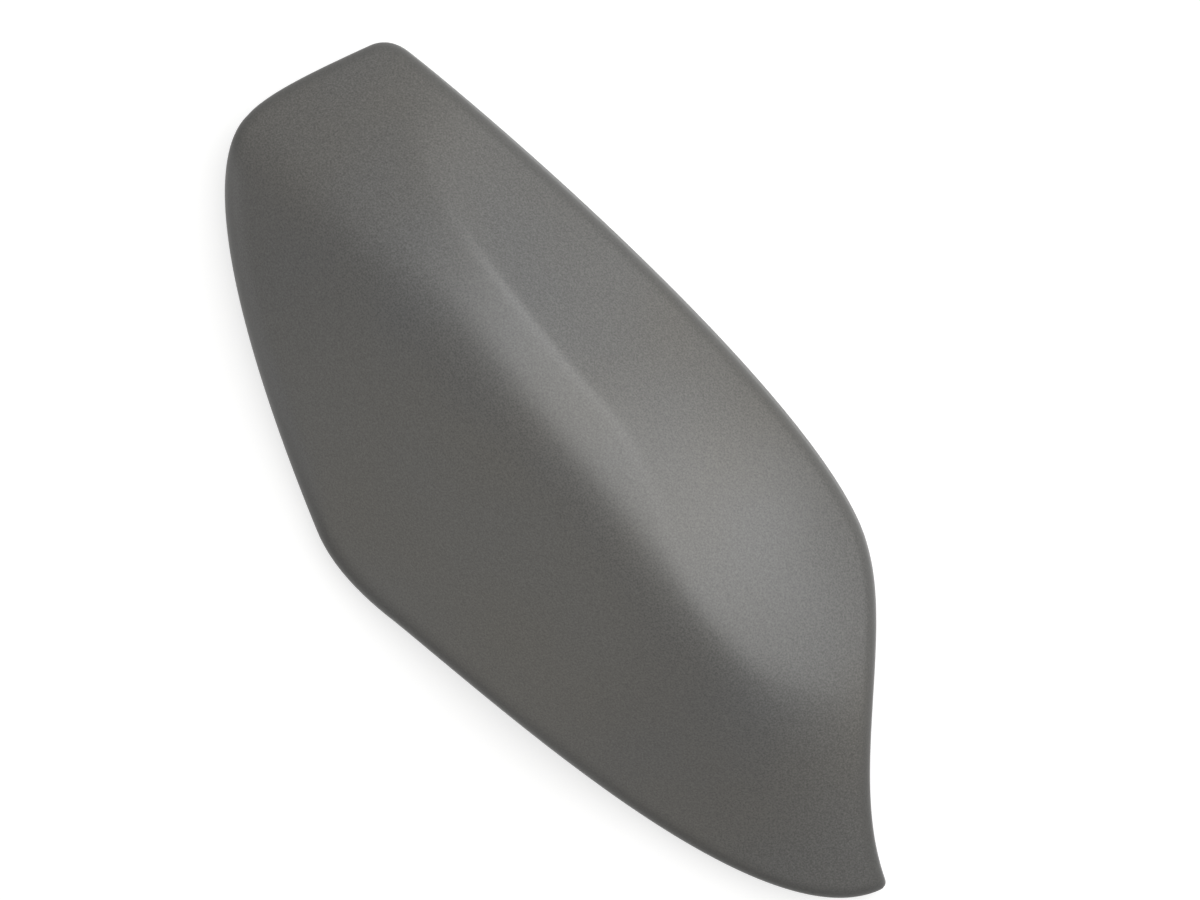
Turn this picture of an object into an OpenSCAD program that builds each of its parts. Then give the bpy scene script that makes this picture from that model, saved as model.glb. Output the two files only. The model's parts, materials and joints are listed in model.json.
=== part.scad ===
// Wing mirror cover: one moulded shell, lying on its rim, mouth down.
// X runs along the shoulder towards the tail, Y towards the upper rim,
// Z out of the dome, which is also the direction the tool opens.

/* [Cover] */
// Length along the shoulder
cover_len = 250; // [244:1:258]
// Width across the two rims
cover_w = 110; // [106:1:114]
// Height of the crown over the rim
crown_h = 51; // [49:0.5:56]
// Wall of the moulding
wall = 2.5; // [2.3:0.1:2.8]
// Draft of the side walls, degrees
draft = 3; // [2:0.5:4]
// Lift of the rim at the waist, where the mirror foot passes
waist_lift = 10; // [6:1:13]

/* [Edges] */
// Turn of the skin into the side wall, taken in from the outline
edge_turn = 2.4; // [2:0.1:3]
// The same along the slanted outboard edge
slant_turn = 7; // [5:0.5:8]
// Corner of the upper rim and the outboard end, in plan
corner_upper = 5; // [3:0.5:7]
// Corner of the lower rim and the slanted edge, in plan
corner_lower = 12; // [9:1:14]
// Corner at the tail tip, in plan
corner_tail = 2; // [1.5:0.5:3]

/* [Crease] */
// Change of slope across the crease
crease_fold = 0.61; // [0.5:0.01:0.7]
// Half width of the crease where it is sharpest
crease_sharp = 0.9; // [0.7:0.1:1.9]

/* [Rim lip] */
// Lip left at the rim, inside the rebate
lip_t = 1.8; // [1.6:0.1:2]
// Height of the rebate
lip_h = 3.5; // [2.5:0.5:5]

/* [Locating pegs] */
// Radius of a peg
peg_r = 3; // [2.5:0.25:3.5]
// Free length of a peg, from its seat to its tip
peg_len = 14; // [10:1:16]
// Radius of the boss that carries a peg
boss_r = 4.5; // [4:0.25:5.5]
// Height of the boss under the inner skin
boss_h = 7; // [5:1:9]
// Reach of the webs from the peg axis
peg_web_reach = 9; // [8:0.5:11]

/* [Snap hooks] */
// Width of a hook
hook_w = 9; // [8:0.5:10]
// Thickness of the blade
hook_t = 2.2; // [2:0.1:2.5]
// Depth of the barb
hook_barb = 1.7; // [1.3:0.1:2]
// Height of the lead-in ramp under the barb
hook_ramp = 4.5; // [3.5:0.5:6]
// Tip of a hook over the rim plane
hook_tip_z = 3; // [2:0.5:5]

/* [Ribs] */
// Thickness of a rib
rib_t = 1.6; // [1.4:0.1:2]
// Height of a rib under the inner skin
rib_h = 4; // [3:0.5:6]

/* [Hidden] */
primer = [0.43, 0.42, 0.41];

// The shape is drawn in a frame of its own, s along and t across,
// and kx, ky, kz carry it to the size asked for. draw_h is where the two
// faces would meet, draw_top the top of the rounded shoulder.
draw_len = 246.81;
draw_w = 109.9;
draw_h = 51.5;
draw_top = 50.76;
mid_s = 125.193;
mid_t = -1.42;
kx = cover_len / draw_len;
ky = cover_w / draw_w;
kz = crown_h / draw_top;

// Outline in plan: nose, upper corner, inboard corner, tail tip, lower corner
nose = [1.8, 11.2];
upper = [13.7, 50.0];
inboard = [187.4, 40.2];
tail = [249.2, -18.3];
lower = [97.1, -57.9];
side_end = [nose, [1.4, 19.6], [8.3, 35.9], upper];
side_upper = [upper, [40.1, 53.4], [157.9, 59.1], inboard];
side_inboard = [inboard, [209.1, 27.3], [221.7, -5.4], tail];
side_lower = [tail, [238.7, -56.3], [121.0, -52.7], lower];
side_slant = [lower, [51.8, -38.5], [0.6, -10.6], nose];

// Mesh of the skin: columns along, rows across, and the rows at which
// the shoulder and the crease run
cols = 52;
rows = 28;
row_shoulder = 12;
row_crease = 18;
turn_steps = 3;

// Smooth ramp: zero below, a straight line above, w wide at the knee
function ramp(a, w) = (a + sqrt(a * a + w * w)) / 2;
// Step from 0 at a to 1 at b, smooth enough to leave no mark in a reflection
function ease(a, b, x) = let (q = min(1, max(0, (x - a) / (b - a))))
    q * q * q * (q * (6 * q - 15) + 10);
function mix(a, b, q) = a + (b - a) * q;
// Smaller of two, rounded where they are less than k apart
function soft_min(a, b, k) = let (h = max(k - abs(a - b), 0) / k) min(a, b) - h * h * h * k / 6;

// Crown along the part: it falls off to both ends, and runs straight out
// to the tail
crown_s = 118;
fall_out = 0.0026;
fall_in = 0.00237;
fall_reach = 111;
function fall(x) = x * x - pow(ramp(x - fall_reach, 10), 2);
function crown(s) = draw_h - fall_out * pow(ramp(crown_s - s, 20), 2)
    - fall_in * fall(ramp(s - crown_s - 6, 20));

// Shoulder line: towards the upper rim outboard and again over the tail
function shoulder_t(s) = 0.4 + 5.6 * (1 - ease(53, 143, s)) - 6.3 * ease(110, 180, s)
    + 13.7 * ease(187, 247, s);
function shoulder_width(s) = 7.6 - 1.4 * (1 - ease(20, 90, s)) + 5.5 * ease(180, 220, s);

// Crease: down from the upper rim, along the shoulder, then fading
function crease_t(s) = 19.9 + 0.16 * ramp(102 - s, 10) + 0.41 * ramp(46 - s, 12)
    - 0.45 * ramp(s - 123.4, 10);
function crease_fade(s) = ease(8, 99, s) * (1 - 0.77 * ease(91, 199, s) - 0.23 * ease(170, 230, s));
function crease_width(s) = crease_sharp + 1.5 * (1 - ease(20, 90, s)) + 4.8 * ease(110, 195, s);

// Upper side of the shoulder, with the leaf facet past the crease and the
// dome of the inboard corner
function top_face(s, t) = let (
    a = max(0, t - 3),
    q = ramp(t - crease_t(s), crease_width(s)),
    c = ramp(t - 20.3 + 0.68 * (s - 150), 10))
    crown(s) - 0.03 * (t - 3) - (0.0051 - 0.0025 * ease(20, 100, s)) * a * a
    - crease_fold * crease_fade(s) * q
    + 0.00305 * ease(30, 100, s) * (1 - ease(80, 150, s)) * q * q
    - 0.0033 * ease(95, 175, s) * c * c;

// Front face under the shoulder, one sheet down to the lower rim
function front_slope(s) = 0.538 - 0.027 * (1 - ease(10, 100, s)) - 0.407 * ease(180, 255, s);
function front_face(s, t) = let (a = max(0, 1 - t))
    crown(s) + front_slope(s) * (t - shoulder_t(s)) - 0.0031 * a * a;

function skin_z(s, t) = soft_min(top_face(s, t), front_face(s, t), shoulder_width(s));

// Height in the part frame, and the same for a skin k under it
function plan_x(s) = kx * (s - mid_s);
function plan_y(t) = ky * (t - mid_t);
function outer_z(s, t) = kz * skin_z(s, t);
function steep(s, t) = let (
    gx = (outer_z(s + 0.5, t) - outer_z(s - 0.5, t)) / kx,
    gy = (outer_z(s, t + 0.5) - outer_z(s, t - 0.5)) / ky) sqrt(1 + gx * gx + gy * gy);
function under_z(s, t, k) = outer_z(s, t) - k * steep(s, t);

// Rim height: flat, with a rise over the waist
waist = [226, 1];
waist_reach = 48;
function rim_z(p) = let (r = norm(p - waist) / waist_reach)
    r < 1 ? waist_lift * pow(1 - r * r, 3) : 0;

// Bezier curve, its direction and a point set in from it by d
function curve(c, q) = pow(1 - q, 3) * c[0] + 3 * pow(1 - q, 2) * q * c[1]
    + 3 * (1 - q) * q * q * c[2] + pow(q, 3) * c[3];
function heading(c, q) = let (v = pow(1 - q, 2) * (c[1] - c[0])
    + 2 * (1 - q) * q * (c[2] - c[1]) + q * q * (c[3] - c[2])) v / norm(v);
function inward(v) = [v.y, -v.x];
function inset(c, q, d) = curve(c, q) + d * inward(heading(c, q));
function run(c, a, b, d, n = 40) = [for (i = [0:n]) inset(c, mix(a, b, i / n), d)];

// Rounded corner between the end of one curve and the start of the next
function corner_pts(ca, cb, qa, qb, d) = let (
    na = inward(heading(ca, 1)), nb = inward(heading(cb, 0)),
    m = ca[3] + d * (na + nb) / (1 + na * nb), a = inset(ca, qa, d), b = inset(cb, qb, d))
    [for (i = [0:12]) let (q = i / 12) pow(1 - q, 2) * a + 2 * q * (1 - q) * m + q * q * b];
function trim(ca, cb, r, d) = let (ha = heading(ca, 1), hb = heading(cb, 0),
    turn = acos(ha * hb)) r + d * tan(turn / 2);
function q_end(c, m) = 1 - m / (3 * norm(c[3] - c[2]));
function q_start(c, m) = m / (3 * norm(c[1] - c[0]));
function part_of(v, a, b) = [for (i = [a:b]) v[i]];

// The four sides of the skin, set in by d, each from corner to corner
function sides(d) = let (
    mu = trim(side_end, side_upper, corner_upper, d),
    mt = trim(side_inboard, side_lower, corner_tail, d),
    ml = trim(side_lower, side_slant, corner_lower, d),
    cu = corner_pts(side_end, side_upper, q_end(side_end, mu), q_start(side_upper, mu), d),
    ct = corner_pts(side_inboard, side_lower, q_end(side_inboard, mt), q_start(side_lower, mt), d),
    cl = corner_pts(side_lower, side_slant, q_end(side_lower, ml), q_start(side_slant, ml), d))
    [concat(run(side_end, 0, q_end(side_end, mu), d), part_of(cu, 1, 6)),
     concat(part_of(cu, 6, 11), run(side_upper, q_start(side_upper, mu), 1, d)),
     concat(run(side_inboard, 0, q_end(side_inboard, mt), d), part_of(ct, 1, 6)),
     concat(part_of(ct, 6, 11), run(side_lower, q_start(side_lower, mt), q_end(side_lower, ml), d),
            part_of(cl, 1, 11), run(side_slant, q_start(side_slant, ml), 1, d))];

// Even spacing along a polyline, drawn closer at its two ends
function total(v, i = 1, acc = [0]) = i >= len(v) ? acc
    : total(v, i + 1, concat(acc, [acc[i - 1] + norm(v[i] - v[i - 1])]));
function resample(v, n, tight) = let (a = total(v), end = a[len(a) - 1],
    tx = [for (i = [0:len(v) - 1]) [a[i], v[i].x]], ty = [for (i = [0:len(v) - 1]) [a[i], v[i].y]])
    [for (i = [0:n]) let (w = end * (i / n - tight * sin(360 * i / n) / 6.2832))
        [lookup(w, tx), lookup(w, ty)]];
function turned(v) = [for (i = [len(v) - 1:-1:0]) v[i]];

// Closed loop set in by d: up the outboard end, along the upper rim,
// down the inboard end and back along the lower rim
function loop(d) = let (k = sides(d),
    a = resample(k[0], rows, 0.2), b = resample(k[1], cols, 0.55),
    c = resample(k[2], rows, 0.5), e = resample(k[3], cols, 0.45))
    concat(part_of(a, 0, rows - 1), part_of(b, 0, cols - 1),
           part_of(c, 0, rows - 1), part_of(e, 0, cols - 1));
loop_n = 2 * (cols + rows);

// Width of the turn into the side wall, wider along the slanted edge
function turn_at(p) = mix(edge_turn, slant_turn,
    (1 - ease(70, 92, p.x)) * (1 - ease(-8, 8, p.y)) );

// Inside of a loop as columns and rows that follow the shoulder and the
// crease, so that both lie on edges of the mesh
function row_mix(b, s, c, t, j) = j <= row_shoulder ? mix(b, s, 1 - pow(1 - j / row_shoulder, 1.25))
    : j <= row_crease ? mix(s, c, (j - row_shoulder) / (row_crease - row_shoulder))
    : mix(c, t, (j - row_crease) / (rows - row_crease));
function loop_low(v, i) = v[(loop_n - i) % loop_n];
function loop_top(v, i) = v[rows + i];
function loop_out(v, j) = v[j];
function loop_in(v, j) = v[2 * rows + cols - j];
row_gap = 9;
function shoulder_row(s) = shoulder_t(min(s, 190));
function crease_row(s) = let (low = shoulder_row(s) + row_gap) low + ramp(crease_t(s) - low, 6);
function guide(v, j, i, line) = let (u = i / cols, w = u - 0.3 * sin(360 * u) / 6.2832,
    p = mix(loop_out(v, j), loop_in(v, j), w))
    line == 0 ? [p.x, mix(p.y, shoulder_row(p.x), ease(-0.05, 0.28, u) * (1 - ease(0.74, 1.02, u)))]
    : [p.x, mix(p.y, crease_row(p.x), ease(0, 0.3, u) * (1 - ease(0.74, 1.02, u)))];
function plan_grid(v) = [for (i = [0:cols]) let (
    b = loop_low(v, i), t = loop_top(v, i),
    s = guide(v, row_shoulder, i, 0), c = guide(v, row_crease, i, 1), u = i / cols)
    for (j = [0:rows])
        row_mix(b, s, c, t, j)
        + (1 - u) * (loop_out(v, j) - row_mix(v[0], loop_out(v, row_shoulder),
            loop_out(v, row_crease), v[rows], j)) * (1 - ease(0, 0.5, u))
        + u * (loop_in(v, j) - row_mix(loop_low(v, cols), loop_in(v, row_shoulder),
            loop_in(v, row_crease), loop_top(v, cols), j)) * ease(0.5, 1, u)];

// Points of one skin: rings from the rim up the side wall and round the
// turn, then the inside. k is the depth under the outer skin.
function at(p, z) = [plan_x(p.x), plan_y(p.y), z];
function skin(k) = let (
    reach = slant_turn + 1,
    v0 = loop(k / kx), v1 = loop((k + reach) / kx),
    lip = loop((k > 0 ? lip_t : 0) / kx),
    e = [for (p = v0) turn_at(p) - (k > 0 ? 0.25 * k : 0)],
    zr = [for (p = lip) rim_z(p)],
    zc = [for (i = [0:loop_n - 1]) under_z(v0[i].x, v0[i].y, k)],
    zb = [for (i = [0:loop_n - 1]) zc[i] - min(1.1 * e[i], 0.5 * (zc[i] - zr[i]))],
    slip = tan(draft),
    pb = [for (i = [0:loop_n - 1]) mix(v0[i], v1[i], slip * (zb[i] - zr[i]) / reach)],
    pc = [for (i = [0:loop_n - 1]) mix(v0[i], v1[i], slip * (zc[i] - zr[i]) / reach)],
    pa = [for (i = [0:loop_n - 1]) mix(v0[i], v1[i], (slip * (zc[i] - zr[i]) + e[i]) / reach)],
    ring_b = [for (i = [0:loop_n - 1]) at(pb[i], zb[i])],
    ring_c = [for (i = [0:loop_n - 1]) at(pc[i], under_z(pc[i].x, pc[i].y, k))],
    ring_a = [for (i = [0:loop_n - 1]) at(pa[i], under_z(pa[i].x, pa[i].y, k))],
    inside = plan_grid(pa))
    concat(
        [for (i = [0:loop_n - 1]) at(lip[i], zr[i])],
        k > 0 ? [for (i = [0:loop_n - 1]) at(lip[i], zr[i] + lip_h)] : [],
        k > 0 ? [for (i = [0:loop_n - 1]) at(v0[i], zr[i] + lip_h)] : [],
        ring_b,
        [for (m = [1:turn_steps - 1]) let (q = m / turn_steps) for (i = [0:loop_n - 1])
            pow(1 - q, 2) * ring_b[i] + 2 * q * (1 - q) * ring_c[i] + q * q * ring_a[i]],
        [for (p = inside) at(p, under_z(p.x, p.y, k))]);

// Faces: bands between rings, then the columns and rows. The last ring
// is the edge of the inside grid itself.
function grid_id(i, j) = i * (rows + 1) + j;
function edge_id(m) = m < rows ? grid_id(0, m)
    : m < rows + cols ? grid_id(m - rows, rows)
    : m < 2 * rows + cols ? grid_id(cols, 2 * rows + cols - m)
    : grid_id(loop_n - m, 0);
function quad(a, b, c, d, flip) = flip ? [[a, b, c], [a, c, d]] : [[c, b, a], [d, c, a]];
function skin_faces(base, rings, flip) = let (g = base + rings * loop_n) concat(
    [for (r = [0:rings - 1]) for (i = [0:loop_n - 1]) let (n = (i + 1) % loop_n,
        a = base + r * loop_n + i, b = base + r * loop_n + n,
        c = r == rings - 1 ? g + edge_id(n) : base + (r + 1) * loop_n + n,
        d = r == rings - 1 ? g + edge_id(i) : base + (r + 1) * loop_n + i)
        for (f = quad(a, b, c, d, flip)) f],
    [for (i = [0:cols - 1]) for (j = [0:rows - 1])
        for (f = quad(g + grid_id(i, j), g + grid_id(i, j + 1),
                      g + grid_id(i + 1, j + 1), g + grid_id(i + 1, j), flip)) f]);

module shell() {
    outer = skin(0);
    inner = skin(wall);
    n = len(outer);
    polyhedron(points = concat(outer, inner), faces = concat(
        skin_faces(0, turn_steps + 1, true),
        skin_faces(n, turn_steps + 3, false),
        [for (i = [0:loop_n - 1]) let (m = (i + 1) % loop_n)
            for (f = quad(i, n + i, n + m, m, true)) f]));
}

// Middle and inside of the wall over a point of the plan, in part frame
function root_z(x, y) = under_z(x / kx + mid_s, y / ky + mid_t, wall / 2);
function inside_z(x, y) = under_z(x / kx + mid_s, y / ky + mid_t, wall);
function spot(p) = [plan_x(p.x), plan_y(p.y)];
function away(a, r) = r * [cos(a), sin(a)];

// Upright plate from plan point a, running r in direction turn; its top
// follows the wall and its foot is set by the list of depths
module plate(a, turn, from, to, t, foot) {
    n = 8;
    at_u = function (u) a + away(turn, u);
    tops = [for (i = [0:n]) let (u = mix(from, to, i / n), p = at_u(u)) [u, root_z(p.x, p.y)]];
    feet = [for (f = foot) let (p = at_u(f[0])) [f[0], inside_z(p.x, p.y) - f[1]]];
    translate([a.x, a.y, 0]) rotate([90, 0, turn])
        linear_extrude(t, center = true) polygon(concat(tops, turned(feet)));
}

// Round boss from a flat foot up into the wall, which it follows
boss_sides = 36;
module boss(a, foot) {
    ring = [for (i = [0:boss_sides - 1]) a + away(360 * i / boss_sides, boss_r)];
    n = boss_sides;
    polyhedron(points = concat([for (p = ring) [p.x, p.y, foot]],
            [for (p = ring) [p.x, p.y, root_z(p.x, p.y)]], [[a.x, a.y, root_z(a.x, a.y)]]),
        faces = concat([[for (i = [0:n - 1]) i]],
            [for (i = [0:n - 1]) let (m = (i + 1) % n) each [[i, n + m, m], [i, n + i, n + m],
                [n + i, 2 * n, n + m]]]));
}

// Locating peg: round, with a lead-in tip, on a boss with four webs that
// stay clear of the seat round the peg
peg_spots = [[70, 9], [166, 7]];
peg_lead = 1;
peg_chamfer = 0.8;
web_step = 1.5;
plate_toe = 0.8;
module peg(p) {
    a = spot(p);
    seat = inside_z(a.x, a.y) - boss_h;
    drop = function (u, v) inside_z(a.x + u, a.y + v) - seat - web_step;
    translate([a.x, a.y, seat - peg_len]) {
        cylinder(h = peg_lead, r1 = peg_r - peg_chamfer, r2 = peg_r, $fn = 48);
        translate([0, 0, peg_lead]) cylinder(h = peg_len - peg_lead + 1, r = peg_r, $fn = 48);
    }
    boss(a, seat);
    for (m = [0, 1]) plate(a, 90 * m, -peg_web_reach, peg_web_reach, rib_t,
        [[-peg_web_reach, plate_toe], [-boss_r, drop(-boss_r * (1 - m), -boss_r * m)],
         [boss_r, drop(boss_r * (1 - m), boss_r * m)], [peg_web_reach, plate_toe]]);
}

// Snap hook: blade along the wall, barb on the inner side, two gussets.
// Each stands in from its side of the outline, clear of the turned edge.
hook_reach = 4;
hook_clear = 2;
hook_flat = 0.8;
hook_nose = 0.2;
hook_bite = 0.5;
gusset_t = 1.4;
gusset_h = 7;
gusset_in = 1.5;
hook_spots = [[side_upper, 0.22], [side_upper, 0.46], [side_upper, 0.72], [side_inboard, 0.18],
    [side_end, 0.52], [side_slant, 0.36], [side_lower, 0.52], [side_lower, 0.80]];
function hook_at(h) = inset(h[0], h[1], turn_at(curve(h[0], h[1])) + wall + hook_reach + hook_clear);
function hook_turn(h) = let (v = inward(heading(h[0], h[1]))) atan2(-v.y, -v.x);
module blade(a, turn, foot) {
    out = away(turn, hook_t / 2);
    along = away(turn + 90, hook_w / 2);
    base = [a - out - along, a + out - along, a + out + along, a - out + along];
    polyhedron(points = concat([for (p = base) [p.x, p.y, foot]],
            [for (p = base) [p.x, p.y, root_z(p.x, p.y)]]),
        faces = [[0, 1, 2], [0, 2, 3], [6, 5, 4], [7, 6, 4], [4, 5, 1], [4, 1, 0],
            [5, 6, 2], [5, 2, 1], [6, 7, 3], [6, 3, 2], [7, 4, 0], [7, 0, 3]]);
}
module hook(h) {
    a = spot(hook_at(h));
    turn = hook_turn(h);
    foot = hook_tip_z + rim_z(hook_at(h));
    back = -hook_t / 2;
    blade(a, turn, foot);
    translate([a.x, a.y, foot]) rotate([90, 0, turn]) linear_extrude(hook_w, center = true)
        polygon([[back + hook_bite, hook_nose], [back - hook_nose, hook_nose], [back - hook_barb, hook_ramp],
            [back - hook_barb, hook_ramp + hook_flat],
            [back + hook_bite, hook_ramp + hook_flat + hook_nose]]);
    for (m = [-1, 1]) plate(a + away(turn + 90, m * (hook_w / 2 - gusset_in)), turn,
        0, hook_reach, gusset_t, [[0, gusset_h], [hook_t / 2, gusset_h], [hook_reach, plate_toe]]);
}

// Low ribs across the front face and the upper side
rib_spots = [[84, -9, 26], [112, -9, 29], [140, -9, 28], [190, -9, 22]];
module rib(r) {
    plate(spot(r), -90, 0, r[2], rib_t, [[0, 1], [rib_h, rib_h], [r[2] - rib_h, rib_h], [r[2], 1]]);
}

module mirror_cover() {
    color(primer) union() {
        shell();
        for (p = peg_spots) peg(p);
        for (h = hook_spots) hook(h);
        for (r = rib_spots) rib(r);
    }
}

mirror_cover();
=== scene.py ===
# %% [markdown]
# # Wing mirror cover
# The object is one plastic moulding in grey primer: a domed skin with side
# walls, and hooks, pegs and ribs on its inner side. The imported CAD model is
# the fixed frame, and this lesson builds a finer skin in the same place.

# %% Load the frame
import json
import math

import bmesh
import bpy
import numpy as np
from mathutils import Matrix, Vector

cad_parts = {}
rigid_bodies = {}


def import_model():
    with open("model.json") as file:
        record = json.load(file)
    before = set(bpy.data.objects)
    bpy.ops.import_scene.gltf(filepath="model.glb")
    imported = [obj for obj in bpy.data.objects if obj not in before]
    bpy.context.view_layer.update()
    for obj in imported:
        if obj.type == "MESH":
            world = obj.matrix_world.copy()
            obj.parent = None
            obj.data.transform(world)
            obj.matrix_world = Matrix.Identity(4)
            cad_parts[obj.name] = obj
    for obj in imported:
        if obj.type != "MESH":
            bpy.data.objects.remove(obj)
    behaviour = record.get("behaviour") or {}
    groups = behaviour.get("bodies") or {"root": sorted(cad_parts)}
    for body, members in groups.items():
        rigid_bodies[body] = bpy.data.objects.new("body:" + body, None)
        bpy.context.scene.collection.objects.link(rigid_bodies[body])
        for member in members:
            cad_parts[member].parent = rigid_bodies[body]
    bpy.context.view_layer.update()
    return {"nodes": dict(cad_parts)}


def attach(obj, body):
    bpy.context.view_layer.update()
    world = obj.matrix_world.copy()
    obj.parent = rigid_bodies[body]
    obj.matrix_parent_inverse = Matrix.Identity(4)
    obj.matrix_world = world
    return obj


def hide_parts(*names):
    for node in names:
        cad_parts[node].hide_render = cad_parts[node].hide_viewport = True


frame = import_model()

print("nodes", sorted(frame["nodes"]))

# %% [markdown]
# ## The view
# The photograph looks straight down on the dome with a long lens, and the
# cover is turned about the view axis. A camera over the object looks down
# by itself, so only its turn about Z is set. A 200 mm lens keeps the outline
# nearly free of perspective, as in the photograph. Its distance, about
# 1.7 m, follows from the width of ground that the picture takes in.

# %% Camera
MM = 0.001
PHOTO_WIDE, EDGE_HEIGHT = 0.3024, 0.002
LENS, SENSOR, FAR_CLIP = 200.0, 36.0, 10.0
VIEW_CENTRE = Vector((-0.0026, 0.0126))
VIEW_TURN = math.radians(43.61)

view = bpy.data.cameras.new("view")
view.lens = LENS
view.sensor_width = SENSOR
view.clip_end = FAR_CLIP
view.dof.use_dof = False
camera = bpy.data.objects.new("view", view)
bpy.context.scene.collection.objects.link(camera)
view_distance = PHOTO_WIDE * LENS / SENSOR
camera.location = (VIEW_CENTRE.x, VIEW_CENTRE.y, view_distance + EDGE_HEIGHT)
camera.rotation_euler = (0.0, 0.0, VIEW_TURN)
bpy.context.scene.camera = camera
print("camera", round(view_distance, 3), "m over the edge of the skin")

# %% [markdown]
# ## What the background is made of
# The photograph's ground is plain white. A white plane would throw light up
# at the cover from all round, which the photograph doesn't show. So what
# looks at the background, or mirrors it, sees white, and diffuse light meets
# something duller. The Light Path node tells these rays apart, and the floor
# and the room both use it.

# %% Helpers for materials


def new_material(name):
    """A material of the given name with one Principled shader."""
    made = bpy.data.materials.new(name)
    made.use_nodes = True
    nodes = made.node_tree.nodes
    return made, nodes, made.node_tree.links, nodes["Principled BSDF"]


def sees_background(nodes, links):
    """1 for camera, glossy and transmission rays, 0 for the rays that light the object."""
    rays = nodes.new("ShaderNodeLightPath")
    seen = rays.outputs["Is Camera Ray"]
    for kind in ("Is Glossy Ray", "Is Transmission Ray"):
        either = nodes.new("ShaderNodeMath")
        either.operation = "MAXIMUM"
        links.new(seen, either.inputs[0])
        links.new(rays.outputs[kind], either.inputs[1])
        seen = either.outputs["Value"]
    return seen


print("helpers for new materials and for rays that see the background")

# %% [markdown]
# ## The floor
# The floor keeps the cover's shadow, which a plain background colour would
# lose. Its diffuse shader catches the shadow, and an emission on top lifts
# the lit part to white. Only the rays that see the background get this pair.

# %% Floor
FLOOR_SIDE, FLOOR_DROP = 6.0, 0.0002
FLOOR_WHITE, FLOOR_DULL = (0.42, 0.42, 0.42, 1.0), (0.18, 0.18, 0.18, 1.0)
FLOOR_LIFT, FLOOR_ROUGH, FLOOR_SHEEN = 0.75, 0.9, 0.2


def pale_floor():
    made, nodes, links, shader = new_material("pale_floor")
    shader.inputs["Base Color"].default_value = FLOOR_WHITE
    shader.inputs["Roughness"].default_value = FLOOR_ROUGH
    shader.inputs["Specular IOR Level"].default_value = FLOOR_SHEEN
    glow = nodes.new("ShaderNodeEmission")
    glow.inputs["Strength"].default_value = FLOOR_LIFT
    lifted = nodes.new("ShaderNodeAddShader")
    links.new(shader.outputs["BSDF"], lifted.inputs[0])
    links.new(glow.outputs["Emission"], lifted.inputs[1])
    dull = nodes.new("ShaderNodeBsdfDiffuse")
    dull.inputs["Color"].default_value = FLOOR_DULL
    shown = nodes.new("ShaderNodeMixShader")
    links.new(sees_background(nodes, links), shown.inputs["Fac"])
    links.new(dull.outputs["BSDF"], shown.inputs[1])
    links.new(lifted.outputs["Shader"], shown.inputs[2])
    links.new(shown.outputs["Shader"], nodes["Material Output"].inputs["Surface"])
    return made


floor_mesh = bpy.data.meshes.new("floor")
bm = bmesh.new()
bmesh.ops.create_grid(bm, x_segments=1, y_segments=1, size=FLOOR_SIDE / 2)
bm.to_mesh(floor_mesh)
bm.free()
floor = bpy.data.objects.new("floor", floor_mesh)
bpy.context.scene.collection.objects.link(floor)
floor.location.z = -FLOOR_DROP
floor_mesh.materials.append(pale_floor())
print("floor", FLOOR_SIDE, "m")

# %% [markdown]
# ## The light
# The photograph has a broad soft highlight along the shoulder, on the side
# towards the image's right. One large soft disk lamp on that side makes it,
# and a weak warm one low on the other side lifts the front face a little.
# A lamp's place is easier to think of as a tilt and a bearing than as a
# point, so the helper works the point out.

# %% Lamps
LAMP_FAR = 1.3
KEY_COLOUR, FILL_COLOUR = (1.0, 1.0, 0.985), (1.0, 0.91, 0.66)


def soft_lamp(name, tilt, bearing, side, power, colour):
    """A disk lamp aimed at the object; tilt from straight up and bearing in degrees."""
    lamp = bpy.data.lights.new(name, "AREA")
    lamp.shape = "DISK"
    lamp.size = side
    lamp.energy = power
    lamp.color = colour
    tilt, bearing = math.radians(tilt), math.radians(bearing)
    aim = Vector((math.sin(tilt) * math.cos(bearing), math.sin(tilt) * math.sin(bearing),
                  math.cos(tilt)))
    made = bpy.data.objects.new(name, lamp)
    bpy.context.scene.collection.objects.link(made)
    made.location = LAMP_FAR * aim
    made.rotation_euler = aim.to_track_quat("Z", "Y").to_euler()
    return made


key = soft_lamp("key", tilt=32.0, bearing=82.0, side=2.0, power=26.5, colour=KEY_COLOUR)
fill = soft_lamp("fill", tilt=80.0, bearing=262.0, side=1.2, power=1.3, colour=FILL_COLOUR)
for lamp in (key, fill):
    print(lamp.name, "lamp at", [round(c, 2) for c in lamp.location])

# %% [markdown]
# ## The room
# A satin surface also mirrors the room. The room is plain white wherever it
# is seen or mirrored, and gives only a little even light, so that the soft
# shadows stay. A picture of a studio would do the same with less control.

# %% World
EVEN_LIGHT, FULL_WHITE = 0.02, 1.0
WHITE = (1.0, 1.0, 1.0, 1.0)
world = bpy.data.worlds.new("studio")
bpy.context.scene.world = world
world.use_nodes = True
room_nodes, room_links = world.node_tree.nodes, world.node_tree.links
even = room_nodes["Background"]
white = room_nodes.new("ShaderNodeBackground")
for light, strength in ((even, EVEN_LIGHT), (white, FULL_WHITE)):
    light.inputs["Color"].default_value = WHITE
    light.inputs["Strength"].default_value = strength
room = room_nodes.new("ShaderNodeMixShader")
room_links.new(sees_background(room_nodes, room_links), room.inputs["Fac"])
room_links.new(even.outputs["Background"], room.inputs[1])
room_links.new(white.outputs["Background"], room.inputs[2])
room_links.new(room.outputs["Shader"], room_nodes["World Output"].inputs["Surface"])
bpy.context.scene.view_settings.view_transform = "Standard"
print("even light", EVEN_LIGHT, "with a white room")

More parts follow.
